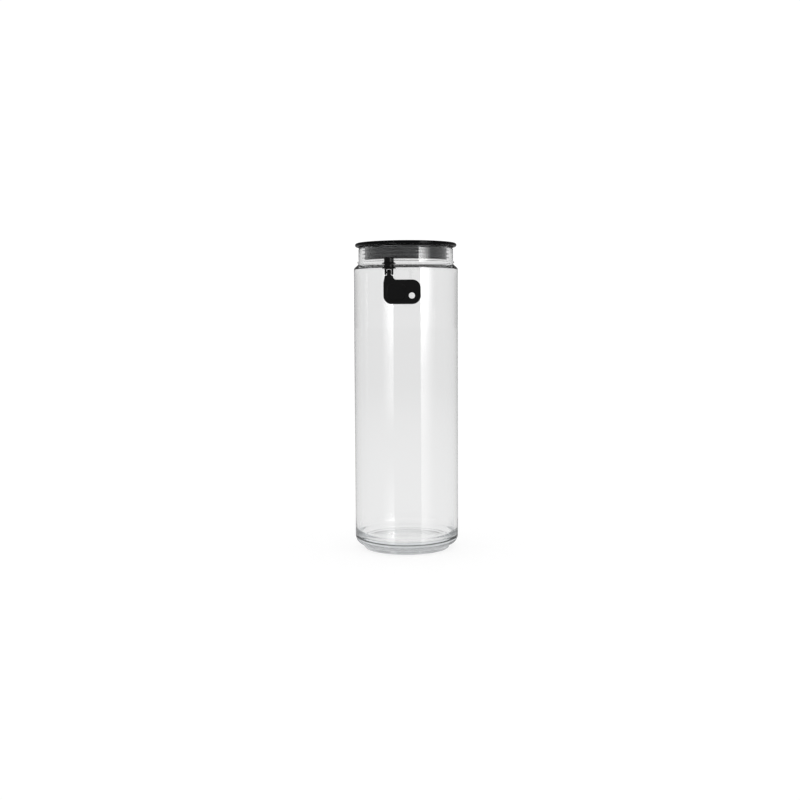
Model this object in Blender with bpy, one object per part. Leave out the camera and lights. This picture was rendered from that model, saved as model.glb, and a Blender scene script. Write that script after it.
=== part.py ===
"""A tall glass storage jar with a plug lid and a hanging tag.

The jar stands on its base at the origin and its axis is +Z. The lid lifts off along +Z. A thin
clear band turns round the jar's neck and carries a clip, and a blank tag swings on the clip's pin.
All lengths below are in millimetres, and each point is scaled to metres as its mesh is made.
"""

import math

import bmesh
import bpy
from mathutils import Matrix, Vector

MM = 0.001
WELD = 1e-6

# Smoothness
TURNED_STEPS = 48
SMALL_STEPS = 24
SHARP_ANGLE = math.radians(35)

# Room between neighbours that touch on the real object
GAP = 0.3

# How far a cutter runs past what it cuts, and how deep a joined part is set in
CUT_MARGIN = 1.0
SET_IN = 0.5

# Jar
BODY_RADIUS = 52.5
BODY_WALL = 3.0
NECK_RADIUS = 47.7
NECK_WALL = 3.4
NECK_BASE = 289.7
SHOULDER_BASE = 283.3
INNER_NECK_BASE = 289.2
INNER_SHOULDER_BASE = 283.1
INNER_SKEW = 0.64
SHOULDER_STEPS = 6
RIM_TOP = 304.65
FLOOR_TOP = 12.3
FLOOR_FILLET = 9.0
CORNER_RADIUS = 9.0
CORNER_BASE = 4.0
FOOT_RADIUS = 43.4
FOOT_HEIGHT = 3.6
FOOT_EDGE = 1.0
FOOT_INNER_RADIUS = 39.5
RECESS_FLAT_RADIUS = 14.0
RECESS_DEPTH = 1.2
RECESS_STEPS = 4

# Lid
WASHER_THICKNESS = 0.6
WASHER_INNER, WASHER_OUTER = 44.9, 47.9
CAP_RADIUS = 51.2
CAP_THICKNESS = 3.7
CAP_UNDERSIDE = RIM_TOP + GAP + WASHER_THICKNESS + GAP
PLUG_RADIUS = 40.2
PLUG_WALL = 2.0
PLUG_BOTTOM = 292.2
PLUG_FLOOR = 2.2
PLUG_FLANGE_RADIUS = 41.7
PLUG_FLANGE_HEIGHT = 1.0
PLUG_EDGE = 0.4
BOSS_DEPTH = 0.8
SEAL_SLEEVE = 0.8
SEAL_TOP = 304.6
LIP_HEIGHTS = (294.2, 297.7, 301.2)
LIP_ROOT, LIP_TIP = 1.3, 0.5

# Band, clip and tag
BAND_GAP = 0.35
BAND_THICKNESS = 0.8
BAND_BOTTOM, BAND_TOP = 289.8, 291.2
CLIP_X = -16.5
CLIP_BACK = -52.2
PIN_Y, PIN_Z = -55.4, 278.4
PIN_RADIUS = 0.8
CLIP_TOP, CLIP_UNDERSIDE = 292.7, 281.3
CLIP_FLANGE = 6.7
CLIP_WAIST = 4.7
UPPER_FLANGE_Z, LOWER_FLANGE_Z = 286.9, 282.3
FLANGE_EDGE = 0.45
CLIP_TOP_EDGE = 0.8
FLANGE_SLOPE = 0.7
LUG_WIDTH = 4.0
LUG_TIP = -54.4
CHEEK_INNER, CHEEK_OUTER = 2.3, 4.2
KNUCKLE_RADIUS = 2.55
EYE_WIDTH = 4.0
EYE_ROOT = 2.5
EYE_TAPER = 0.2
TAG_THICKNESS = 4.4
TAG_EDGE = 1.1
TAG_EDGE_STEPS = 3
TAG_EDGE_ANGLE = math.radians(50)
TAG_LEFT, TAG_RIGHT = -22.0, 14.0
TAG_BOTTOM, TAG_TOP = 247.8, 271.3
TAG_CORNER = 8.0
ARM_TOP = 275.4
ARM_HALF_WIDTH = 4.0
ARM_CORNER, ARM_FILLET = 1.2, 3.0
EYELET_X, EYELET_Z, EYELET_RADIUS = 5.5, 256.0, 3.0


# Materials

def material(name, colour, roughness, transmission=0.0, alpha=1.0):
    made = bpy.data.materials.new(name)
    made.use_nodes = True
    shader = made.node_tree.nodes["Principled BSDF"]
    shader.inputs["Base Color"].default_value = (*colour, 1.0)
    shader.inputs["Roughness"].default_value = roughness
    shader.inputs["Metallic"].default_value = 0.0
    shader.inputs["Transmission Weight"].default_value = transmission
    shader.inputs["Alpha"].default_value = alpha
    made.diffuse_color = (*colour, alpha)
    return made


# Outlines

def arc(centre, radius, start, end, steps):
    """Points on a circle from one angle to another, in degrees, ends included."""
    angles = (math.radians(start + (end - start) * i / steps) for i in range(steps + 1))
    return [(centre[0] + radius * math.cos(a), centre[1] + radius * math.sin(a)) for a in angles]


def s_curve(low, high, steps, skew=1.0):
    """A smooth step from one (radius, height) to another. A skew below 1 puts most of it low down."""
    points = []
    for i in range(steps + 1):
        t = i / steps
        blend = (1 - math.cos(math.pi * t**skew)) / 2
        points.append((low[0] + (high[0] - low[0]) * blend, low[1] + (high[1] - low[1]) * t))
    return points


def rounded(corners, steps=5):
    """A closed outline from (x, z, radius) corners, each one rounded by an arc."""
    points = []
    for i, (x, z, radius) in enumerate(corners):
        here = Vector((x, z))
        before = (Vector(corners[i - 1][:2]) - here).normalized()
        after = (Vector(corners[(i + 1) % len(corners)][:2]) - here).normalized()
        half = before.angle(after) / 2
        middle = here + (before + after).normalized() * radius / math.sin(half)
        first = here + before * radius / math.tan(half) - middle
        turn = first.angle_signed(here + after * radius / math.tan(half) - middle)
        for step in range(steps + 1):
            spoke = Matrix.Rotation(-turn * step / steps, 2) @ first
            points.append(tuple(middle + spoke))
    return points


# Solids

def finish(name, shape, look, origin=(0.0, 0.0, 0.0)):
    """Makes an object of a bmesh, with its faces pointing out and its origin at a place in mm."""
    bmesh.ops.recalc_face_normals(shape, faces=shape.faces)
    mesh = bpy.data.meshes.new(name)
    shape.to_mesh(mesh)
    shape.free()
    mesh.shade_smooth()
    mesh.set_sharp_from_angle(angle=SHARP_ANGLE)
    if look:
        mesh.materials.append(look)
    made = bpy.data.objects.new(name, mesh)
    made.location = Vector(origin) * MM
    bpy.context.scene.collection.objects.link(made)
    return made


def turned(name, outline, look, closed=False, steps=TURNED_STEPS, origin=(0.0, 0.0, 0.0)):
    """Turns (radius, height) points about Z. An outline that isn't closed starts and ends at radius 0."""
    shape = bmesh.new()
    points = [shape.verts.new((r * MM, 0.0, z * MM)) for r, z in outline]
    following = points[1:] + (points[:1] if closed else [])
    edges = [shape.edges.new(pair) for pair in zip(points, following)]
    bmesh.ops.spin(
        shape,
        geom=points + edges,
        cent=(0.0, 0.0, 0.0),
        axis=(0.0, 0.0, 1.0),
        angle=math.tau,
        steps=steps,
    )
    bmesh.ops.remove_doubles(shape, verts=shape.verts, dist=WELD)
    return finish(name, shape, look, origin)


def extruded(name, outline, direction, near, far, look, origin=(0.0, 0.0, 0.0)):
    """Extrudes a closed outline along X or Y. Its points are (y, z) for X and (x, z) for Y."""
    def place(point, depth):
        if direction == "X":
            return Vector((depth, point[0], point[1])) * MM
        return Vector((point[0], depth, point[1])) * MM

    shape = bmesh.new()
    face = shape.faces.new([shape.verts.new(place(point, near)) for point in outline])
    grown = bmesh.ops.extrude_face_region(shape, geom=[face])["geom"]
    moved = [item for item in grown if isinstance(item, bmesh.types.BMVert)]
    bmesh.ops.translate(shape, verts=moved, vec=place((0.0, 0.0), far - near))
    return finish(name, shape, look, origin)


def box(name, low, high, look):
    """A block between two corners."""
    outline = [(low[0], low[2]), (high[0], low[2]), (high[0], high[2]), (low[0], high[2])]
    return extruded(name, outline, "Y", low[1], high[1], look)


def rod(name, radius, reach, look, steps=SMALL_STEPS, origin=(0.0, 0.0, 0.0)):
    """A round bar along X, centred on its origin."""
    outline = arc((0.0, 0.0), radius, 0, 360 - 360 / steps, steps - 1)
    return extruded(name, outline, "X", -reach, reach, look, origin)


def combine(piece, tool, operation):
    """Joins a tool to a piece, or cuts it away, and keeps the tool as a guide."""
    tool.hide_render = True
    tool.display_type = "WIRE"
    change = piece.modifiers.new(tool.name, "BOOLEAN")
    change.operation = operation
    change.solver = "EXACT"
    change.object = tool


# Jar

def make_glass_jar():
    clear = material("clear_glass", (0.93, 0.95, 0.95), 0.03, transmission=1.0, alpha=0.35)
    corner_centre = (BODY_RADIUS - CORNER_RADIUS, CORNER_BASE + CORNER_RADIUS)
    neck_inner = NECK_RADIUS - NECK_WALL
    body_inner = BODY_RADIUS - BODY_WALL
    lip = NECK_WALL / 2
    outline = [(0.0, RECESS_DEPTH)]
    for i in range(RECESS_STEPS + 1):
        t = i / RECESS_STEPS
        radius = RECESS_FLAT_RADIUS + (FOOT_INNER_RADIUS - RECESS_FLAT_RADIUS) * t
        outline.append((radius, RECESS_DEPTH * (1 - t**2)))
    outline += arc((FOOT_RADIUS - FOOT_EDGE, FOOT_EDGE), FOOT_EDGE, -90, 0, 3)
    outline += [(FOOT_RADIUS, FOOT_HEIGHT)]
    outline += arc(corner_centre, CORNER_RADIUS, -90, 0, 7)
    outline += s_curve((BODY_RADIUS, SHOULDER_BASE), (NECK_RADIUS, NECK_BASE), SHOULDER_STEPS)
    outline += arc((NECK_RADIUS - lip, RIM_TOP - lip), lip, 0, 180, 6)
    inside = ((body_inner, INNER_SHOULDER_BASE), (neck_inner, INNER_NECK_BASE))
    outline += reversed(s_curve(*inside, SHOULDER_STEPS, INNER_SKEW))
    floor_centre = (body_inner - FLOOR_FILLET, FLOOR_TOP + FLOOR_FILLET)
    outline += arc(floor_centre, FLOOR_FILLET, 0, -90, 5)
    outline += [(0.0, FLOOR_TOP)]
    return turned("glass_jar", outline, clear)


# Lid

def make_lid_cap():
    black = material("gloss_black_plastic", (0.008, 0.008, 0.009), 0.12)
    edge = CAP_THICKNESS / 2
    boss_radius = PLUG_RADIUS - PLUG_WALL - GAP
    outline = [
        (0.0, CAP_UNDERSIDE - BOSS_DEPTH),
        (boss_radius, CAP_UNDERSIDE - BOSS_DEPTH),
        (boss_radius, CAP_UNDERSIDE),
    ]
    outline += arc((CAP_RADIUS - edge, CAP_UNDERSIDE + edge), edge, -90, 90, 8)
    outline += [(0.0, CAP_UNDERSIDE + CAP_THICKNESS)]
    return turned("lid_cap", outline, black)


def make_lid_plug():
    dark = material("smoked_plastic", (0.05, 0.055, 0.062), 0.12)
    top = CAP_UNDERSIDE - GAP
    inner = PLUG_RADIUS - PLUG_WALL
    outline = [(0.0, PLUG_BOTTOM)]
    outline += arc((PLUG_FLANGE_RADIUS - PLUG_EDGE, PLUG_BOTTOM + PLUG_EDGE), PLUG_EDGE, -90, 0, 3)
    outline += [
        (PLUG_FLANGE_RADIUS, PLUG_BOTTOM + PLUG_FLANGE_HEIGHT),
        (PLUG_RADIUS, PLUG_BOTTOM + PLUG_FLANGE_HEIGHT),
        (PLUG_RADIUS, top),
        (inner, top),
        (inner, PLUG_BOTTOM + PLUG_FLOOR),
        (0.0, PLUG_BOTTOM + PLUG_FLOOR),
    ]
    return turned("lid_plug", outline, dark)


def make_seal_ring():
    smoky = material("smoky_silicone", (0.16, 0.17, 0.19), 0.3, transmission=0.5, alpha=0.8)
    inner = PLUG_RADIUS + GAP
    sleeve = inner + SEAL_SLEEVE
    tip = NECK_RADIUS - NECK_WALL - GAP
    bottom = PLUG_BOTTOM + PLUG_FLANGE_HEIGHT + GAP
    outline = [(inner, bottom), (sleeve, bottom)]
    for height in LIP_HEIGHTS:
        outline += [
            (sleeve, height - LIP_ROOT / 2),
            (tip, height - LIP_TIP / 2),
            (tip, height + LIP_TIP / 2),
            (sleeve, height + LIP_ROOT / 2),
        ]
    outline += [(sleeve, SEAL_TOP), (inner, SEAL_TOP)]
    return turned("seal_ring", outline, smoky, closed=True)


def make_rim_washer():
    rubber = material("black_rubber", (0.015, 0.015, 0.016), 0.45)
    bottom = RIM_TOP + GAP
    top = bottom + WASHER_THICKNESS
    edge = WASHER_THICKNESS / 2
    outline = [(WASHER_INNER, top), (WASHER_INNER, bottom)]
    outline += arc((WASHER_OUTER - edge, bottom + edge), edge, -90, 90, 3)
    return turned("rim_washer", outline, rubber, closed=True)


# Neck band, clip and pin

def make_neck_ring():
    clear = material("clear_plastic", (0.9, 0.92, 0.92), 0.08, transmission=1.0, alpha=0.3)
    inner = NECK_RADIUS + BAND_GAP
    outer = inner + BAND_THICKNESS
    outline = [(inner, BAND_BOTTOM), (outer, BAND_BOTTOM), (outer, BAND_TOP), (inner, BAND_TOP)]
    band = turned("neck_ring", outline, clear, closed=True)
    root = -math.sqrt((inner + BAND_THICKNESS / 2) ** 2 - CLIP_X**2)
    half = LUG_WIDTH / 2
    lug = box("lug_guide", (CLIP_X - half, LUG_TIP, BAND_BOTTOM), (CLIP_X + half, root, BAND_TOP), clear)
    combine(band, lug, "UNION")
    return band


def make_tag_clip():
    black = material("clip_black_plastic", (0.01, 0.01, 0.011), 0.35)
    spool = [(0.0, CLIP_UNDERSIDE), (CLIP_WAIST, CLIP_UNDERSIDE)]
    for middle in (LOWER_FLANGE_Z, UPPER_FLANGE_Z):
        if middle != LOWER_FLANGE_Z:
            spool.append((CLIP_WAIST, middle - FLANGE_EDGE - FLANGE_SLOPE))
        spool += [(CLIP_FLANGE, middle - FLANGE_EDGE), (CLIP_FLANGE, middle + FLANGE_EDGE)]
        spool.append((CLIP_WAIST, middle + FLANGE_EDGE + FLANGE_SLOPE))
    top_centre = (CLIP_WAIST - CLIP_TOP_EDGE, CLIP_TOP - CLIP_TOP_EDGE)
    spool += arc(top_centre, CLIP_TOP_EDGE, 0, 90, 3)
    spool += [(0.0, CLIP_TOP)]
    clip = turned("tag_clip", spool, black, steps=SMALL_STEPS, origin=(CLIP_X, PIN_Y, 0.0))

    behind = CLIP_BACK + CLIP_FLANGE
    side = CLIP_FLANGE + CUT_MARGIN
    low, high = CLIP_UNDERSIDE - CUT_MARGIN, CLIP_TOP + CUT_MARGIN
    back = box("back_cutter", (CLIP_X - side, CLIP_BACK, low), (CLIP_X + side, behind, high), None)
    combine(clip, back, "DIFFERENCE")

    half = LUG_WIDTH / 2 + GAP
    low_corner = (CLIP_X - half, LUG_TIP - GAP, BAND_BOTTOM - GAP)
    high_corner = (CLIP_X + half, CLIP_BACK + CUT_MARGIN, BAND_TOP + GAP)
    combine(clip, box("socket_cutter", low_corner, high_corner, None), "DIFFERENCE")

    cheek = arc((PIN_Y, PIN_Z), KNUCKLE_RADIUS, -180, 0, 8)
    cheek += [(PIN_Y + KNUCKLE_RADIUS, CLIP_UNDERSIDE + SET_IN)]
    cheek += [(PIN_Y - KNUCKLE_RADIUS, CLIP_UNDERSIDE + SET_IN)]
    for side_name, near in (("left", -CHEEK_OUTER), ("right", CHEEK_INNER)):
        start = CLIP_X + near
        end = start + CHEEK_OUTER - CHEEK_INNER
        guide = extruded(f"{side_name}_cheek_guide", cheek, "X", start, end, black)
        combine(clip, guide, "UNION")

    pin = (CLIP_X, PIN_Y, PIN_Z)
    hole = rod("clip_hole_cutter", PIN_RADIUS + GAP, CHEEK_OUTER + CUT_MARGIN, None, origin=pin)
    combine(clip, hole, "DIFFERENCE")
    return clip


def make_tag_pin():
    steel = material("pin_steel", (0.55, 0.56, 0.57), 0.3)
    steel.node_tree.nodes["Principled BSDF"].inputs["Metallic"].default_value = 1.0
    return rod("tag_pin", PIN_RADIUS, CHEEK_OUTER, steel, origin=(CLIP_X, PIN_Y, PIN_Z))


# Tag

def make_hang_tag():
    """The tag's origin is on the pin's axis, so its points are measured from the pin."""
    black = material("tag_black_plastic", (0.01, 0.01, 0.011), 0.38)
    pin = (CLIP_X, PIN_Y, PIN_Z)
    arm_left, arm_right = CLIP_X - ARM_HALF_WIDTH, CLIP_X + ARM_HALF_WIDTH
    corners = [
        (arm_left, ARM_TOP, ARM_CORNER),
        (arm_right, ARM_TOP, ARM_CORNER),
        (arm_right, TAG_TOP, ARM_FILLET),
        (TAG_RIGHT, TAG_TOP, TAG_CORNER),
        (TAG_RIGHT, TAG_BOTTOM, TAG_CORNER),
        (TAG_LEFT, TAG_BOTTOM, TAG_CORNER),
        (TAG_LEFT, TAG_TOP - ARM_FILLET, ARM_FILLET),
    ]
    outline = [(x - CLIP_X, z - PIN_Z) for x, z in rounded(corners)]
    half = TAG_THICKNESS / 2
    tag = extruded("hang_tag", outline, "Y", -half, half, black, origin=pin)
    soften = tag.modifiers.new("soft_edge", "BEVEL")
    soften.width = TAG_EDGE * MM
    soften.segments = TAG_EDGE_STEPS
    soften.limit_method = "ANGLE"
    soften.angle_limit = TAG_EDGE_ANGLE

    reach = ARM_TOP - PIN_Z - EYE_ROOT
    eye = arc((0.0, 0.0), KNUCKLE_RADIUS, 0, 180, 10)
    eye += [(EYE_TAPER - KNUCKLE_RADIUS, reach), (KNUCKLE_RADIUS - EYE_TAPER, reach)]
    guide = extruded("eye_guide", eye, "X", -EYE_WIDTH / 2, EYE_WIDTH / 2, black, origin=pin)
    combine(tag, guide, "UNION")
    hole = rod("eye_hole_cutter", PIN_RADIUS + GAP, EYE_WIDTH, None, origin=pin)
    combine(tag, hole, "DIFFERENCE")
    last = 360 - 360 / SMALL_STEPS
    ring = arc((EYELET_X, EYELET_Z), EYELET_RADIUS, 0, last, SMALL_STEPS - 1)
    eyelet = extruded("eyelet_cutter", ring, "Y", PIN_Y - TAG_THICKNESS, PIN_Y + TAG_THICKNESS, None)
    combine(tag, eyelet, "DIFFERENCE")
    return tag


def carried(name, place, pieces):
    """Parents pieces to an empty on their joint's axis, where they are."""
    axis = bpy.data.objects.new(name, None)
    axis.location = Vector(place) * MM
    bpy.context.scene.collection.objects.link(axis)
    bpy.context.view_layer.update()
    for piece in pieces:
        piece.parent = axis
        piece.matrix_parent_inverse = axis.matrix_world.inverted()


def main():
    for old in list(bpy.data.objects):
        bpy.data.objects.remove(old, do_unlink=True)
    make_glass_jar()
    lid = [make_lid_cap(), make_lid_plug(), make_seal_ring(), make_rim_washer()]
    carried("lid_axis", (0.0, 0.0, CAP_UNDERSIDE), lid)
    band = [make_neck_ring(), make_tag_clip(), make_tag_pin()]
    carried("neck_axis", (0.0, 0.0, BAND_BOTTOM), band)
    make_hang_tag()


main()
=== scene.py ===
"""Looks for the glass storage jar: smooth turned glass, a gloss black lid with a smoky ribbed seal,
a clear neck band, and a soft-cornered blank tag, in a white studio.

Shapes are in millimetres, and each point is scaled to metres as its mesh is made. The studio is in
metres.
"""

import math

import bmesh
import bpy
from mathutils import Matrix, Vector


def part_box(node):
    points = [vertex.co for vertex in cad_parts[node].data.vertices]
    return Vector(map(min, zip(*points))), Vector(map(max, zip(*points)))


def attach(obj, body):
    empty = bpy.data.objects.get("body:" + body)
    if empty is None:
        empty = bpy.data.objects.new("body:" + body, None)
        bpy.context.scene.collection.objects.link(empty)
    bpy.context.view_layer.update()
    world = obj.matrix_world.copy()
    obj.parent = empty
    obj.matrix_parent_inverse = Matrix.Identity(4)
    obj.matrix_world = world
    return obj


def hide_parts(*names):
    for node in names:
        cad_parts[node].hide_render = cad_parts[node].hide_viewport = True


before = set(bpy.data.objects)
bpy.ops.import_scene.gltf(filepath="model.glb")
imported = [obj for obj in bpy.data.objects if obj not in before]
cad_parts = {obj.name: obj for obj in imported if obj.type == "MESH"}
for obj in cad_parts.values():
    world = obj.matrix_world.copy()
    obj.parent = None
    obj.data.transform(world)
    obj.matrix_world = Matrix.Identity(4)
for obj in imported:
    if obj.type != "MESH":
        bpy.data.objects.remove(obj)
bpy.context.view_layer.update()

MM = 0.001

# Corners of the frame's nodes
JAR_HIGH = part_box("glass_jar")[1] / MM
CAP_LOW, CAP_HIGH = (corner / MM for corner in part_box("lid_cap"))
PLUG_LOW, PLUG_HIGH = (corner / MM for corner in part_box("lid_plug"))
SEAL_LOW, SEAL_HIGH = (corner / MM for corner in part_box("seal_ring"))
WASHER_LOW, WASHER_HIGH = (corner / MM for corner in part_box("rim_washer"))
BAND_LOW, BAND_HIGH = (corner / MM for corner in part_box("neck_ring"))
CLIP_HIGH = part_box("tag_clip")[1] / MM
PIN_LOW, PIN_HIGH = (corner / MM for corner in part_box("tag_pin"))
TAG_LOW, TAG_HIGH = (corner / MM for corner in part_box("hang_tag"))
PIN = (PIN_LOW + PIN_HIGH) / 2

# Room between neighbours, how far a cutter runs past what it cuts, and how deep a joined part is set
GAP = 0.3
CUT_MARGIN = 1.0
CUT_REACH = 5.0
SET_IN = 0.5

# Smoothness
TURNED_STEPS = 256
SMALL_STEPS = 64
HOLE_STEPS = 60
SHARP_ANGLE = math.radians(40)

# Jar
BODY_RADIUS = JAR_HIGH.x
RIM_TOP = JAR_HIGH.z
BODY_WALL = 3.0
NECK_RADIUS = 47.7
NECK_WALL = 3.4
NECK_BASE = 289.7
SHOULDER_BASE = 283.3
INNER_NECK_BASE = 289.2
INNER_SHOULDER_BASE = 283.1
INNER_SKEW = 0.64
SHOULDER_STEPS = 20
WALL_STEPS = 24
CORNER_STEPS = 18
FLOOR_TOP = 12.3
FLOOR_FILLET = 9.0
FLOOR_RINGS = 8
CORNER_RADIUS = 9.0
CORNER_BASE = 4.0
FOOT_RADIUS = 43.4
FOOT_HEIGHT = 3.6
FOOT_EDGE = 1.0
FOOT_INNER_RADIUS = 39.5
RECESS_FLAT_RADIUS = 14.0
RECESS_DEPTH = 1.2
RECESS_STEPS = 16

# Lid
BOSS_RADIUS = 37.9
LID_RINGS = 6
PLUG_RADIUS = 40.2
PLUG_WALL = 2.0
PLUG_FLOOR = 2.2
PLUG_FLANGE_HEIGHT = 1.0
PLUG_EDGE = 0.4
SEAL_INNER, SEAL_SLEEVE = 40.5, 41.3
LIP_HEIGHTS = (294.2, 297.7, 301.2)
LIP_ROOT, LIP_EDGE = 0.65, 0.25
WASHER_INNER = 44.9

# Band, lug, clip and pin
BAND_INNER = 48.05
BAND_EDGE = 0.3
LUG_HALF = 2.0
LUG_TIP = -54.4
CLIP_WAIST = 4.7
CLIP_UNDERSIDE = 281.3
CLIP_TOP_EDGE = 1.0
CLIP_BACK_CUT = 9.0
LOWER_FLANGE, UPPER_FLANGE = 282.3, 286.9
FLANGE_EDGE = 0.45
FLANGE_SLOPE = 0.7
CHEEK_INNER, CHEEK_OUTER = 2.3, 4.2
KNUCKLE_RADIUS = 2.55
HOLE_RADIUS = 1.1
PIN_CHAMFER = 0.2

# Tag
TAG_TOP = 271.3
TAG_HALF = 2.2
TAG_CORNER = 8.0
TAG_EDGE = 1.1
TAG_EDGE_STEPS = 5
TAG_EDGE_ANGLE = math.radians(50)
TAG_CORNER_STEPS = 12
ARM_HALF = 4.0
ARM_TOP = PIN.z - 3.0
ARM_CORNER, ARM_FILLET = 1.4, 3.0
EYE_HALF = 2.0
EYE_ROOT = 2.5
EYE_TAPER = 0.2
EYELET_PLACE, EYELET_RADIUS = (5.5, 256.0), 3.0
FIELD_LEFT, FIELD_RIGHT = -18.5, -1.0
FIELD_BOTTOM, FIELD_TOP = 251.5, 267.5
FIELD_CORNER = 5.0
FIELD_DEPTH = 0.5

# Soft mouldings: the size of the even faces laid over a piece, and how often they are relaxed
CLIP_SKIN, CLIP_ROUNDS = 0.1, 1
TAG_SKIN, TAG_ROUNDS = 0.16, 4
RELAX = 0.5

# Camera
SENSOR, LENS = 36.0, 49.22
CAMERA_PLACE = (-0.0061, -1.1142, 0.2324)
CAMERA_DIP, CAMERA_ROLL = math.radians(4.178), math.radians(0.257)

# Brightness of the surroundings, as (upward slopes of the ray), (levels at those slopes)
GLOSS_LEVELS = (-0.25, 0.0), (0.4, 0.14)
THROUGH_LEVELS = (0.15, 0.6), (0.83, 0.7)
ONCE_REFLECTED_LEVELS = (0.08, 0.2), (0.72, 0.85)
DIFFUSE_LEVEL = 0.9
BACKDROP_LEVEL = 1.05

# Light panels, with angles in degrees from the front towards +X
PANEL_RADIUS = 0.9
PANEL_LOW = -0.6
PANEL_STEPS = 24
PANEL_STRENGTH = 7.5
PANEL_SOFT_TOP = 0.15
PANEL_RISE = (0.12, 0.33), (0.3, 1.0)
PANEL_RISE_BEHIND_GLASS = (0.0, 0.12), (0.0, 1.0)
PANELS = (("tall_panel", 31.5, 66, 0.75), ("low_panel", -27, -58, 0.01))

# Floor
FLOOR_RADIUS = 30.0
FLOOR_SEGMENTS = 64
FLOOR_GLOW = 0.8
# Painted light seen through glass: the floor glows instead of being lit, a painted pool a little brighter
# near the jar, as (distances from the middle in metres), (glow levels)
FLOOR_PAINTED_GLOW_THROUGH = (0.2, 3.0), (0.86, 0.8)

BOUNCES, GLOSSY_BOUNCES = 24, 12


# Node helpers

def node(tree, kind, **settings):
    made = tree.nodes.new(kind)
    for key, value in settings.items():
        setattr(made, key, value)
    return made


def new_material(name, colour, roughness, **sockets):
    """A Principled material and its tree. Extra sockets are named with underscores for spaces."""
    made = bpy.data.materials.new(name)
    made.use_nodes = True
    tree = made.node_tree
    shader = tree.nodes["Principled BSDF"]
    shader.inputs["Base Color"].default_value = (*colour, 1.0)
    shader.inputs["Roughness"].default_value = roughness
    for key, value in sockets.items():
        shader.inputs[key.replace("_", " ")].default_value = value
    return made, tree, shader


def noise(tree, scale, detail=2.0, stretch=(1.0, 1.0, 1.0)):
    """A noise pattern in the piece's own coordinates. Scale is in cells per metre."""
    where = node(tree, "ShaderNodeTexCoord")
    mapping = node(tree, "ShaderNodeMapping")
    mapping.inputs["Scale"].default_value = stretch
    tree.links.new(where.outputs["Object"], mapping.inputs["Vector"])
    made = node(tree, "ShaderNodeTexNoise")
    made.inputs["Scale"].default_value = scale
    made.inputs["Detail"].default_value = detail
    tree.links.new(mapping.outputs["Vector"], made.inputs["Vector"])
    return made.outputs["Fac"]


def spread(tree, source, start=(0.0, 1.0), end=(0.0, 1.0), kind="LINEAR"):
    """Maps one range of a value onto another."""
    made = node(tree, "ShaderNodeMapRange", interpolation_type=kind)
    for name, value in zip(("From Min", "From Max", "To Min", "To Max"), (*start, *end)):
        made.inputs[name].default_value = value
    tree.links.new(source, made.inputs["Value"])
    return made.outputs["Result"]


def ease(tree, source, start, end):
    """The same with a smooth beginning and end."""
    return spread(tree, source, start, end, "SMOOTHSTEP")


def coordinate(tree, kind, axis):
    """One axis of a piece's own coordinates, or of the direction that a ray comes from."""
    where = node(tree, "ShaderNodeTexCoord")
    axes = node(tree, "ShaderNodeSeparateXYZ")
    tree.links.new(where.outputs[kind], axes.inputs["Vector"])
    return axes.outputs[axis]


def pick(tree, first, second, share):
    """Goes from the first number or socket to the second as a share goes from 0 to 1."""
    made = node(tree, "ShaderNodeMix", data_type="FLOAT")
    for value, socket in ((first, made.inputs[2]), (second, made.inputs[3])):
        if isinstance(value, float):
            socket.default_value = value
        else:
            tree.links.new(value, socket)
    tree.links.new(share, made.inputs[0])
    return made.outputs[0]


def times(tree, first, second):
    made = node(tree, "ShaderNodeMath", operation="MULTIPLY")
    tree.links.new(first, made.inputs[0])
    tree.links.new(second, made.inputs[1])
    return made.outputs["Value"]


def mix_shaders(tree, share, first, second):
    made = node(tree, "ShaderNodeMixShader")
    tree.links.new(share, made.inputs["Fac"])
    tree.links.new(first, made.inputs[1])
    tree.links.new(second, made.inputs[2])
    return made.outputs["Shader"]


def ray(tree, kind):
    """What a ray is, such as Is Camera Ray."""
    return node(tree, "ShaderNodeLightPath").outputs[kind]


def once_reflected(tree):
    """1 on a ray that has reflected on its way, and 0 on one that has only gone through glass."""
    made = node(tree, "ShaderNodeMath", operation="MINIMUM")
    made.inputs[1].default_value = 1.0
    tree.links.new(ray(tree, "Glossy Depth"), made.inputs[0])
    return made.outputs["Value"]


def add_bump(tree, shader, height, strength, distance):
    made = node(tree, "ShaderNodeBump")
    made.inputs["Strength"].default_value = strength
    made.inputs["Distance"].default_value = distance
    tree.links.new(height, made.inputs["Height"])
    tree.links.new(made.outputs["Normal"], shader.inputs["Normal"])


def add_absorption(tree, colour, density):
    made = node(tree, "ShaderNodeVolumeAbsorption")
    made.inputs["Color"].default_value = (*colour, 1.0)
    made.inputs["Density"].default_value = density
    output = tree.nodes["Material Output"]
    tree.links.new(made.outputs["Volume"], output.inputs["Volume"])


# Materials

def glass_material():
    """Clear pressed glass: a little grey through its thickness, gently wavy, and less polished low down."""
    made, tree, shader = new_material(
        "pressed_clear_glass", (1.0, 1.0, 1.0), 0.0, Transmission_Weight=1.0, IOR=1.5
    )
    add_bump(tree, shader, noise(tree, 38.0, 1.0, stretch=(1.0, 1.0, 0.12)), 0.12, 0.0006)
    add_absorption(tree, (0.83, 0.85, 0.86), 15.0)
    polish = ease(tree, coordinate(tree, "Object", "Z"), (0.008, 0.019), (0.16, 0.0))
    tree.links.new(polish, shader.inputs["Roughness"])
    return made


def lid_material():
    """Gloss black plastic with a faint haze."""
    made, tree, shader = new_material(
        "gloss_black_lid", (0.002, 0.002, 0.0025), 0.08, Specular_IOR_Level=0.12
    )
    haze = spread(tree, noise(tree, 220.0, 4.0), end=(0.06, 0.13))
    tree.links.new(haze, shader.inputs["Roughness"])
    return made


def plug_material():
    """Dark smoky plastic, a little hazy."""
    made, tree, shader = new_material(
        "smoked_plug", (0.006, 0.007, 0.008), 0.05, Specular_IOR_Level=0.15
    )
    haze = spread(tree, noise(tree, 160.0, 3.0), end=(0.03, 0.08))
    tree.links.new(haze, shader.inputs["Roughness"])
    return made


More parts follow.
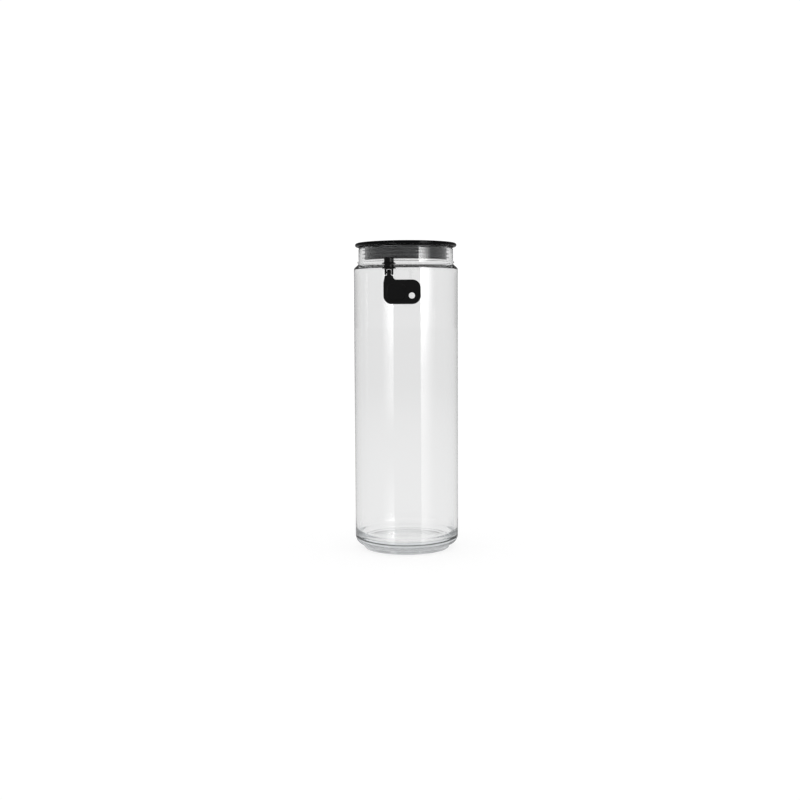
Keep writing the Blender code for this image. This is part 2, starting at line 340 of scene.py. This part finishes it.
def seal_material():
    """Smoky silicone with a faint mottle in its colour and sheen."""
    made, tree, shader = new_material(
        "smoky_silicone_seal", (0.03, 0.033, 0.037), 0.22, Specular_IOR_Level=0.4
    )
    mottle = noise(tree, 300.0, 3.0)
    ramp = node(tree, "ShaderNodeValToRGB")
    ramp.color_ramp.elements[0].color = (0.016, 0.018, 0.021, 1.0)
    ramp.color_ramp.elements[1].color = (0.035, 0.039, 0.044, 1.0)
    tree.links.new(mottle, ramp.inputs["Fac"])
    tree.links.new(ramp.outputs["Color"], shader.inputs["Base Color"])
    tree.links.new(spread(tree, mottle, end=(0.16, 0.3)), shader.inputs["Roughness"])
    return made


def rubber_material():
    """Black rubber with a fine grain."""
    made, tree, shader = new_material("black_rubber", (0.012, 0.012, 0.013), 0.45)
    add_bump(tree, shader, noise(tree, 1800.0, 2.0), 0.15, 0.0001)
    return made


def clear_plastic_material():
    """Clear plastic, slightly uneven and faintly grey."""
    made, tree, shader = new_material(
        "clear_band_plastic", (1.0, 1.0, 1.0), 0.02, Transmission_Weight=1.0, IOR=1.45
    )
    add_bump(tree, shader, noise(tree, 400.0, 2.0), 0.05, 0.0001)
    add_absorption(tree, (0.9, 0.93, 0.94), 10.0)
    return made


def satin_black_material():
    """Satin black moulding with a fine grain and faint handling marks."""
    made, tree, shader = new_material(
        "satin_black_plastic", (0.003, 0.003, 0.0032), 0.4, Specular_IOR_Level=0.35
    )
    marks = spread(tree, noise(tree, 130.0, 4.0), end=(0.32, 0.5))
    tree.links.new(marks, shader.inputs["Roughness"])
    add_bump(tree, shader, noise(tree, 2600.0, 2.0), 0.25, 0.00006)
    return made


def steel_material():
    """Steel drawn along the pin."""
    made, tree, shader = new_material("pin_steel", (0.58, 0.58, 0.6), 0.25, Metallic=1.0)
    drawn = spread(tree, noise(tree, 900.0, 3.0, stretch=(0.1, 1.0, 1.0)), end=(0.18, 0.34))
    tree.links.new(drawn, shader.inputs["Roughness"])
    return made


# Outlines, as (radius, height) or (x, z) points

def arc(centre, radius, start, end, steps):
    """Points on a circle from one angle to another, in degrees, ends included."""
    angles = (math.radians(start + (end - start) * i / steps) for i in range(steps + 1))
    return [(centre[0] + radius * math.cos(a), centre[1] + radius * math.sin(a)) for a in angles]


def circle(centre, radius):
    return arc(centre, radius, 0, 360 - 360 / HOLE_STEPS, HOLE_STEPS - 1)


def line(start, end, steps):
    """Evenly spaced points between two, ends left out."""
    share = (i / steps for i in range(1, steps))
    return [tuple(a + (b - a) * t for a, b in zip(start, end)) for t in share]


def rectangle(low_x, low_z, high_x, high_z):
    return [(low_x, low_z), (high_x, low_z), (high_x, high_z), (low_x, high_z)]


def s_curve(low, high, steps, skew=1.0):
    """A smooth step from one (radius, height) to another. A skew below 1 puts most of it low down."""
    points = []
    for i in range(steps + 1):
        t = i / steps
        blend = (1 - math.cos(math.pi * t**skew)) / 2
        points.append((low[0] + (high[0] - low[0]) * blend, low[1] + (high[1] - low[1]) * t))
    return points


def rounded(corners, steps):
    """An outline from (x, z, radius) corners, each one rounded by an arc."""
    points = []
    for i, (x, z, radius) in enumerate(corners):
        here = Vector((x, z))
        before = (Vector(corners[i - 1][:2]) - here).normalized()
        after = (Vector(corners[(i + 1) % len(corners)][:2]) - here).normalized()
        half = before.angle(after) / 2
        middle = here + (before + after).normalized() * radius / math.sin(half)
        first = here + before * radius / math.tan(half) - middle
        turn = first.angle_signed(here + after * radius / math.tan(half) - middle)
        for step in range(steps + 1):
            spoke = Matrix.Rotation(-turn * step / steps, 2) @ first
            points.append(tuple(middle + spoke))
    return points


# Meshes

def make_object(name, shape, look):
    bmesh.ops.recalc_face_normals(shape, faces=shape.faces)
    mesh = bpy.data.meshes.new(name)
    shape.to_mesh(mesh)
    shape.free()
    mesh.shade_smooth()
    mesh.set_sharp_from_angle(angle=SHARP_ANGLE)
    if look:
        mesh.materials.append(look)
    made = bpy.data.objects.new(name, mesh)
    bpy.context.scene.collection.objects.link(made)
    return made


def turned(name, outline, look, closed=False, steps=TURNED_STEPS, centre=(0.0, 0.0)):
    """Turns an outline about Z. One that isn't closed starts and ends at radius 0."""
    shape = bmesh.new()
    rings = []
    for radius, height in outline:
        if radius == 0.0:
            rings.append([shape.verts.new((centre[0] * MM, centre[1] * MM, height * MM))])
            continue
        ring = []
        for i in range(steps):
            angle = math.tau * i / steps
            x = centre[0] + radius * math.cos(angle)
            y = centre[1] + radius * math.sin(angle)
            ring.append(shape.verts.new((x * MM, y * MM, height * MM)))
        rings.append(ring)
    following = rings[1:] + (rings[:1] if closed else [])
    for low, high in zip(rings, following):
        for i in range(steps):
            j = (i + 1) % steps
            lower = [low[i % len(low)], low[j % len(low)]]
            upper = [high[j % len(high)], high[i % len(high)]]
            shape.faces.new(list(dict.fromkeys(lower + upper)))
    return make_object(name, shape, look)


def extruded(name, outline, direction, near, far, look):
    """Extrudes an outline along X, with (y, z) points, or along Y, with (x, z) points."""
    def place(point, depth):
        if direction == "X":
            return Vector((depth, point[0], point[1])) * MM
        return Vector((point[0], depth, point[1])) * MM

    shape = bmesh.new()
    face = shape.faces.new([shape.verts.new(place(point, near)) for point in outline])
    grown = bmesh.ops.extrude_face_region(shape, geom=[face])["geom"]
    moved = [item for item in grown if isinstance(item, bmesh.types.BMVert)]
    bmesh.ops.translate(shape, verts=moved, vec=place((0.0, 0.0), far - near))
    return make_object(name, shape, look)


def combine(piece, operation, name, outline, direction, near, far):
    """Joins an extruded outline to a piece or cuts it away. Its tool stays until freeze removes it."""
    tool = extruded(name, outline, direction, near, far, None)
    tool.hide_render = True
    change = piece.modifiers.new(name, "BOOLEAN")
    change.operation = operation
    change.solver = "EXACT"
    change.object = tool


def freeze(piece):
    """Applies a piece's modifiers and removes the tools that they used."""
    tools = [m.object for m in piece.modifiers if m.type == "BOOLEAN"]
    bpy.context.view_layer.update()
    shown = piece.evaluated_get(bpy.context.evaluated_depsgraph_get())
    mesh = bpy.data.meshes.new_from_object(shown)
    piece.modifiers.clear()
    piece.data = mesh
    for tool in tools:
        bpy.data.objects.remove(tool, do_unlink=True)


def soften(piece, voxel, rounds):
    """Runs a skin of small even faces over a piece and relaxes it, as a soft moulding's edges are."""
    skin = piece.modifiers.new("skin", "REMESH")
    skin.mode = "VOXEL"
    skin.voxel_size = voxel * MM
    skin.use_smooth_shade = True
    relax = piece.modifiers.new("relax", "SMOOTH")
    relax.factor = RELAX
    relax.iterations = rounds
    freeze(piece)
    piece.data.shade_smooth()


def settle(piece, body, slot, *nodes):
    """Says what a piece rides on, and hides the frame's parts that it stands for. The slot, what it would
    take its finish from, is not used.
    """
    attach(piece, body)
    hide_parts(*nodes)


# Jar

def make_jar():
    neck_inner = NECK_RADIUS - NECK_WALL
    body_inner = BODY_RADIUS - BODY_WALL
    lip = NECK_WALL / 2
    outline = [(0.0, RECESS_DEPTH)]
    for i in range(RECESS_STEPS + 1):
        t = i / RECESS_STEPS
        radius = RECESS_FLAT_RADIUS + (FOOT_INNER_RADIUS - RECESS_FLAT_RADIUS) * t
        outline.append((radius, RECESS_DEPTH * (1 - t**2)))
    outline += arc((FOOT_RADIUS - FOOT_EDGE, FOOT_EDGE), FOOT_EDGE, -90, 0, 6)
    outline += [(FOOT_RADIUS, FOOT_HEIGHT - GAP), (FOOT_RADIUS, FOOT_HEIGHT)]
    corner = (BODY_RADIUS - CORNER_RADIUS, CORNER_BASE + CORNER_RADIUS)
    outline += arc(corner, CORNER_RADIUS, -90, 0, CORNER_STEPS)
    outline += line((BODY_RADIUS, corner[1]), (BODY_RADIUS, SHOULDER_BASE), WALL_STEPS)
    outline += s_curve((BODY_RADIUS, SHOULDER_BASE), (NECK_RADIUS, NECK_BASE), SHOULDER_STEPS)
    outline += arc((NECK_RADIUS - lip, RIM_TOP - lip), lip, 0, 180, 16)
    inside = ((body_inner, INNER_SHOULDER_BASE), (neck_inner, INNER_NECK_BASE))
    outline += reversed(s_curve(*inside, SHOULDER_STEPS, INNER_SKEW))
    floor_centre = (body_inner - FLOOR_FILLET, FLOOR_TOP + FLOOR_FILLET)
    outline += line((body_inner, INNER_SHOULDER_BASE), (body_inner, floor_centre[1]), WALL_STEPS)
    outline += arc(floor_centre, FLOOR_FILLET, 0, -90, CORNER_STEPS)
    outline += line((floor_centre[0], FLOOR_TOP), (0.0, FLOOR_TOP), FLOOR_RINGS)
    outline += [(0.0, FLOOR_TOP)]
    jar = turned("jar_glass", outline, glass_material())
    settle(jar, "jar", "clear_glass", "glass_jar")


# Lid

def make_lid_disc():
    """A disc with a fully rounded edge, and a low boss under it."""
    radius, top, bottom = CAP_HIGH.x, CAP_HIGH.z, WASHER_HIGH.z + GAP
    edge = (top - bottom) / 2
    outline = [(0.0, CAP_LOW.z), (BOSS_RADIUS, CAP_LOW.z), (BOSS_RADIUS, bottom)]
    outline += arc((radius - edge, bottom + edge), edge, -90, 90, 24)
    outline += line((radius - edge, top), (0.0, top), LID_RINGS) + [(0.0, top)]
    disc = turned("lid_disc", outline, lid_material())
    settle(disc, "lid", "gloss_black_plastic", "lid_cap")


def make_plug():
    """A cup, open at the top under the disc, with a small flange round its bottom."""
    flange, bottom, inner = PLUG_HIGH.x, PLUG_LOW.z, PLUG_RADIUS - PLUG_WALL
    outline = [(0.0, bottom)] + line((0.0, bottom), (flange - PLUG_EDGE, bottom), LID_RINGS)
    outline += arc((flange - PLUG_EDGE, bottom + PLUG_EDGE), PLUG_EDGE, -90, 0, 8)
    outline += [
        (flange, bottom + PLUG_FLANGE_HEIGHT),
        (PLUG_RADIUS, bottom + PLUG_FLANGE_HEIGHT),
        (PLUG_RADIUS, PLUG_HIGH.z),
        (inner, PLUG_HIGH.z),
        (inner, bottom + PLUG_FLOOR),
        (0.0, bottom + PLUG_FLOOR),
    ]
    plug = turned("smoky_plug", outline, plug_material())
    settle(plug, "lid", "smoked_plastic", "lid_plug")


def make_seal():
    """A sleeve with three lips that narrow to rounded edges."""
    outline = [(SEAL_INNER, SEAL_LOW.z), (SEAL_SLEEVE, SEAL_LOW.z)]
    for height in LIP_HEIGHTS:
        outline.append((SEAL_SLEEVE, height - LIP_ROOT))
        outline += arc((SEAL_HIGH.x - LIP_EDGE, height), LIP_EDGE, -90, 90, 8)
        outline.append((SEAL_SLEEVE, height + LIP_ROOT))
    outline += [(SEAL_SLEEVE, SEAL_HIGH.z), (SEAL_INNER, SEAL_HIGH.z)]
    seal = turned("lip_seal", outline, seal_material(), closed=True)
    settle(seal, "lid", "smoky_silicone", "seal_ring")


def make_washer():
    outer = WASHER_HIGH.x
    edge = (WASHER_HIGH.z - WASHER_LOW.z) / 2
    outline = [(WASHER_INNER, WASHER_HIGH.z), (WASHER_INNER, WASHER_LOW.z)]
    outline += arc((outer - edge, WASHER_LOW.z + edge), edge, -90, 90, 8)
    washer = turned("flat_washer", outline, rubber_material(), closed=True)
    settle(washer, "lid", "black_rubber", "rim_washer")


# Neck band, clip, pin and tag

def make_band():
    """A thin band with a lug for the clip."""
    corners = rectangle(BAND_INNER, BAND_LOW.z, BAND_HIGH.x, BAND_HIGH.z)
    outline = rounded([(*corner, BAND_EDGE) for corner in corners], 4)
    band = turned("clear_neck_band", outline, clear_plastic_material(), closed=True)
    root = -math.sqrt(((BAND_INNER + BAND_HIGH.x) / 2) ** 2 - PIN.x**2)
    lug = rectangle(PIN.x - LUG_HALF, BAND_LOW.z, PIN.x + LUG_HALF, BAND_HIGH.z)
    combine(band, "UNION", "lug_tool", lug, "Y", LUG_TIP, root)
    freeze(band)
    settle(band, "neck_band", "clear_plastic", "neck_ring")


def make_clip(look):
    """A spool with two flared flanges, a flat back, and two cheeks for the pin."""
    flange, top, back = CLIP_HIGH.x - PIN.x, CLIP_HIGH.z, CLIP_HIGH.y
    outline = [(0.0, CLIP_UNDERSIDE), (CLIP_WAIST, CLIP_UNDERSIDE)]
    for middle, slope in ((LOWER_FLANGE, 0.0), (UPPER_FLANGE, FLANGE_SLOPE)):
        outline.append((CLIP_WAIST, middle - FLANGE_EDGE - slope))
        outline += arc((flange - FLANGE_EDGE, middle), FLANGE_EDGE, -90, 90, 8)
        outline.append((CLIP_WAIST, middle + FLANGE_EDGE + FLANGE_SLOPE))
    outline += arc((CLIP_WAIST - CLIP_TOP_EDGE, top - CLIP_TOP_EDGE), CLIP_TOP_EDGE, 0, 90, 8)
    outline += [(0.0, top)]
    clip = turned("tag_grip", outline, look, steps=SMALL_STEPS, centre=(PIN.x, PIN.y))

    side = flange + CUT_MARGIN
    slab = rectangle(
        PIN.x - side, CLIP_UNDERSIDE - CUT_MARGIN, PIN.x + side, top + CUT_MARGIN
    )
    combine(clip, "DIFFERENCE", "back_tool", slab, "Y", back, back + CLIP_BACK_CUT)
    half = LUG_HALF + GAP
    socket = rectangle(PIN.x - half, BAND_LOW.z - GAP, PIN.x + half, BAND_HIGH.z + GAP)
    combine(clip, "DIFFERENCE", "socket_tool", socket, "Y", LUG_TIP - GAP, back + CUT_MARGIN)

    cheek = arc((PIN.y, PIN.z), KNUCKLE_RADIUS, -180, 0, 20)
    cheek += [
        (PIN.y + KNUCKLE_RADIUS, CLIP_UNDERSIDE + SET_IN),
        (PIN.y - KNUCKLE_RADIUS, CLIP_UNDERSIDE + SET_IN),
    ]
    for near, far in ((-CHEEK_OUTER, -CHEEK_INNER), (CHEEK_INNER, CHEEK_OUTER)):
        combine(clip, "UNION", "cheek_tool", cheek, "X", PIN.x + near, PIN.x + far)
    hole = circle((PIN.y, PIN.z), HOLE_RADIUS)
    combine(clip, "DIFFERENCE", "hole_tool", hole, "X", PIN.x - CUT_REACH, PIN.x + CUT_REACH)
    soften(clip, CLIP_SKIN, CLIP_ROUNDS)
    settle(clip, "neck_band", "satin_black_plastic", "tag_clip")


def make_pin():
    radius = (PIN_HIGH.z - PIN_LOW.z) / 2
    half = (PIN_HIGH.x - PIN_LOW.x) / 2
    ends = [(0.0, -half), (radius - PIN_CHAMFER, -half), (radius, -half + PIN_CHAMFER)]
    ends += [(radius, half - PIN_CHAMFER), (radius - PIN_CHAMFER, half), (0.0, half)]
    pin = turned("hinge_pin", ends, steel_material(), steps=SMALL_STEPS)
    pin.data.transform(Matrix.Translation(PIN * MM) @ Matrix.Rotation(math.pi / 2, 4, "Y"))
    settle(pin, "neck_band", "pin_steel", "tag_pin")


def make_tag(look):
    """A blank tag with an eye on the pin, an eyelet and a shallow square field."""
    bottom, left, right = TAG_LOW.z, TAG_LOW.x, TAG_HIGH.x
    corners = [
        (PIN.x - ARM_HALF, ARM_TOP, ARM_CORNER),
        (PIN.x + ARM_HALF, ARM_TOP, ARM_CORNER),
        (PIN.x + ARM_HALF, TAG_TOP, ARM_FILLET),
        (right, TAG_TOP, TAG_CORNER),
        (right, bottom, TAG_CORNER),
        (left, bottom, TAG_CORNER),
        (left, TAG_TOP - ARM_FILLET, ARM_FILLET),
    ]
    front, back = PIN.y - TAG_HALF, PIN.y + TAG_HALF
    tag = extruded("blank_tag", rounded(corners, TAG_CORNER_STEPS), "Y", front, back, look)
    edge = tag.modifiers.new("edge", "BEVEL")
    edge.width = TAG_EDGE * MM
    edge.segments = TAG_EDGE_STEPS
    edge.limit_method = "ANGLE"
    edge.angle_limit = TAG_EDGE_ANGLE

    eye = arc((PIN.y, PIN.z), KNUCKLE_RADIUS, 0, 180, 20)
    eye += [
        (PIN.y - KNUCKLE_RADIUS + EYE_TAPER, ARM_TOP - EYE_ROOT),
        (PIN.y + KNUCKLE_RADIUS - EYE_TAPER, ARM_TOP - EYE_ROOT),
    ]
    combine(tag, "UNION", "eye_tool", eye, "X", PIN.x - EYE_HALF, PIN.x + EYE_HALF)
    hole = circle((PIN.y, PIN.z), HOLE_RADIUS)
    combine(tag, "DIFFERENCE", "pin_hole_tool", hole, "X", PIN.x - CUT_REACH, PIN.x + CUT_REACH)
    eyelet = circle(EYELET_PLACE, EYELET_RADIUS)
    combine(tag, "DIFFERENCE", "eyelet_tool", eyelet, "Y", PIN.y - CUT_REACH, PIN.y + CUT_REACH)
    corners = rectangle(FIELD_LEFT, FIELD_BOTTOM, FIELD_RIGHT, FIELD_TOP)
    field = rounded([(*corner, FIELD_CORNER) for corner in corners], TAG_CORNER_STEPS)
    combine(tag, "DIFFERENCE", "field_tool", field, "Y", front - CUT_MARGIN, front + FIELD_DEPTH)
    soften(tag, TAG_SKIN, TAG_ROUNDS)
    settle(tag, "tag", "satin_black_plastic", "hang_tag")


# Studio

def make_camera():
    data = bpy.data.cameras.new("camera")
    data.sensor_width = SENSOR
    data.lens = LENS
    camera = bpy.data.objects.new("camera", data)
    camera.location = CAMERA_PLACE
    camera.rotation_euler = (math.pi / 2 - CAMERA_DIP, CAMERA_ROLL, 0.0)
    bpy.context.scene.collection.objects.link(camera)
    bpy.context.scene.camera = camera


def make_world():
    """White behind and through the glass, darker where gloss looks, so that black stays black."""
    world = bpy.data.worlds.new("studio")
    bpy.context.scene.world = world
    world.use_nodes = True
    tree = world.node_tree
    background = tree.nodes["Background"]
    background.inputs["Color"].default_value = (1.0, 1.0, 1.0, 1.0)
    slope = coordinate(tree, "Generated", "Z")
    level = pick(tree, ease(tree, slope, *GLOSS_LEVELS), DIFFUSE_LEVEL, ray(tree, "Is Diffuse Ray"))
    through = pick(
        tree,
        ease(tree, slope, *THROUGH_LEVELS),
        ease(tree, slope, *ONCE_REFLECTED_LEVELS),
        once_reflected(tree),
    )
    level = pick(tree, level, through, ray(tree, "Is Transmission Ray"))
    level = pick(tree, level, BACKDROP_LEVEL, ray(tree, "Is Camera Ray"))
    tree.links.new(level, background.inputs["Strength"])


def panel_material(name, high):
    """Light that fades across the panel and at its top, is weaker low down, and shows only by reflection."""
    look = bpy.data.materials.new(name)
    look.use_nodes = True
    tree = look.node_tree
    tree.nodes.clear()
    across = node(tree, "ShaderNodeSeparateXYZ")
    where = node(tree, "ShaderNodeUVMap", uv_map="across")
    tree.links.new(where.outputs["UV"], across.inputs["Vector"])
    height = coordinate(tree, "Object", "Z")
    behind_glass = ease(tree, height, *PANEL_RISE_BEHIND_GLASS)

    shown = ease(tree, across.outputs["X"], (0.0, 1.0), (1.0, 0.0))
    shown = times(tree, shown, ease(tree, height, *PANEL_RISE))
    shown = times(tree, shown, ease(tree, height, (high - PANEL_SOFT_TOP, high), (1.0, 0.0)))
    shown = times(tree, shown, pick(tree, 1.0, behind_glass, ray(tree, "Is Transmission Ray")))
    shown = times(tree, shown, once_reflected(tree))

    unseen = node(tree, "ShaderNodeBsdfTransparent")
    light = node(tree, "ShaderNodeEmission")
    light.inputs["Strength"].default_value = PANEL_STRENGTH
    both = mix_shaders(tree, shown, unseen.outputs["BSDF"], light.outputs["Emission"])
    output = node(tree, "ShaderNodeOutputMaterial")
    tree.links.new(both, output.inputs["Surface"])
    return look


def make_panel(name, start, end, high):
    """A curved light that stands round the jar, brightest along its first edge."""
    shape = bmesh.new()
    uv = shape.loops.layers.uv.new("across")
    rails = []
    for i in range(PANEL_STEPS + 1):
        angle = math.radians(start + (end - start) * i / PANEL_STEPS)
        x, y = PANEL_RADIUS * math.sin(angle), -PANEL_RADIUS * math.cos(angle)
        rails.append([shape.verts.new((x, y, z)) for z in (PANEL_LOW, high)])
    for i in range(PANEL_STEPS):
        (near_low, near_high), (far_low, far_high) = rails[i], rails[i + 1]
        face = shape.faces.new([near_low, far_low, far_high, near_high])
        for loop, column in zip(face.loops, (i, i + 1, i + 1, i)):
            loop[uv].uv = (column / PANEL_STEPS, 0.0)
    panel = make_object(name, shape, panel_material(name, high))
    panel.visible_camera = False
    panel.visible_diffuse = False
    panel.visible_shadow = False


def make_floor():
    """A white floor that glows evenly. Seen through glass it is painted light: it glows a greyer level
    instead of being lit, with a painted pool of light a little brighter near the jar.
    """
    look, tree, shader = new_material("pale_floor", (0.25, 0.25, 0.25), 0.9, Specular_IOR_Level=0.0)
    shader.inputs["Emission Color"].default_value = (1.0, 1.0, 1.0, 1.0)
    shader.inputs["Emission Strength"].default_value = FLOOR_GLOW
    where = node(tree, "ShaderNodeTexCoord")
    distance = node(tree, "ShaderNodeVectorMath", operation="LENGTH")
    tree.links.new(where.outputs["Object"], distance.inputs[0])
    glow = node(tree, "ShaderNodeEmission")
    # Painted pool of light: the glow seen through glass is a little brighter near the jar and fades with
    # distance
    fade = ease(tree, distance.outputs["Value"], *FLOOR_PAINTED_GLOW_THROUGH)
    tree.links.new(fade, glow.inputs["Strength"])
    through = ray(tree, "Is Transmission Ray")
    both = mix_shaders(tree, through, shader.outputs["BSDF"], glow.outputs["Emission"])
    tree.links.new(both, tree.nodes["Material Output"].inputs["Surface"])
    shape = bmesh.new()
    bmesh.ops.create_circle(shape, cap_ends=True, segments=FLOOR_SEGMENTS, radius=FLOOR_RADIUS)
    floor = make_object("floor", shape, look)
    floor.visible_glossy = False


def make_studio():
    make_world()
    for panel in PANELS:
        make_panel(*panel)
    make_floor()
    scene = bpy.context.scene
    scene.view_settings.view_transform = "Standard"
    scene.cycles.max_bounces = BOUNCES
    scene.cycles.transmission_bounces = BOUNCES
    scene.cycles.glossy_bounces = GLOSSY_BOUNCES


make_camera()
make_jar()
make_lid_disc()
make_plug()
make_seal()
make_washer()
make_band()
satin_black = satin_black_material()
make_clip(satin_black)
make_pin()
make_tag(satin_black)
make_studio()
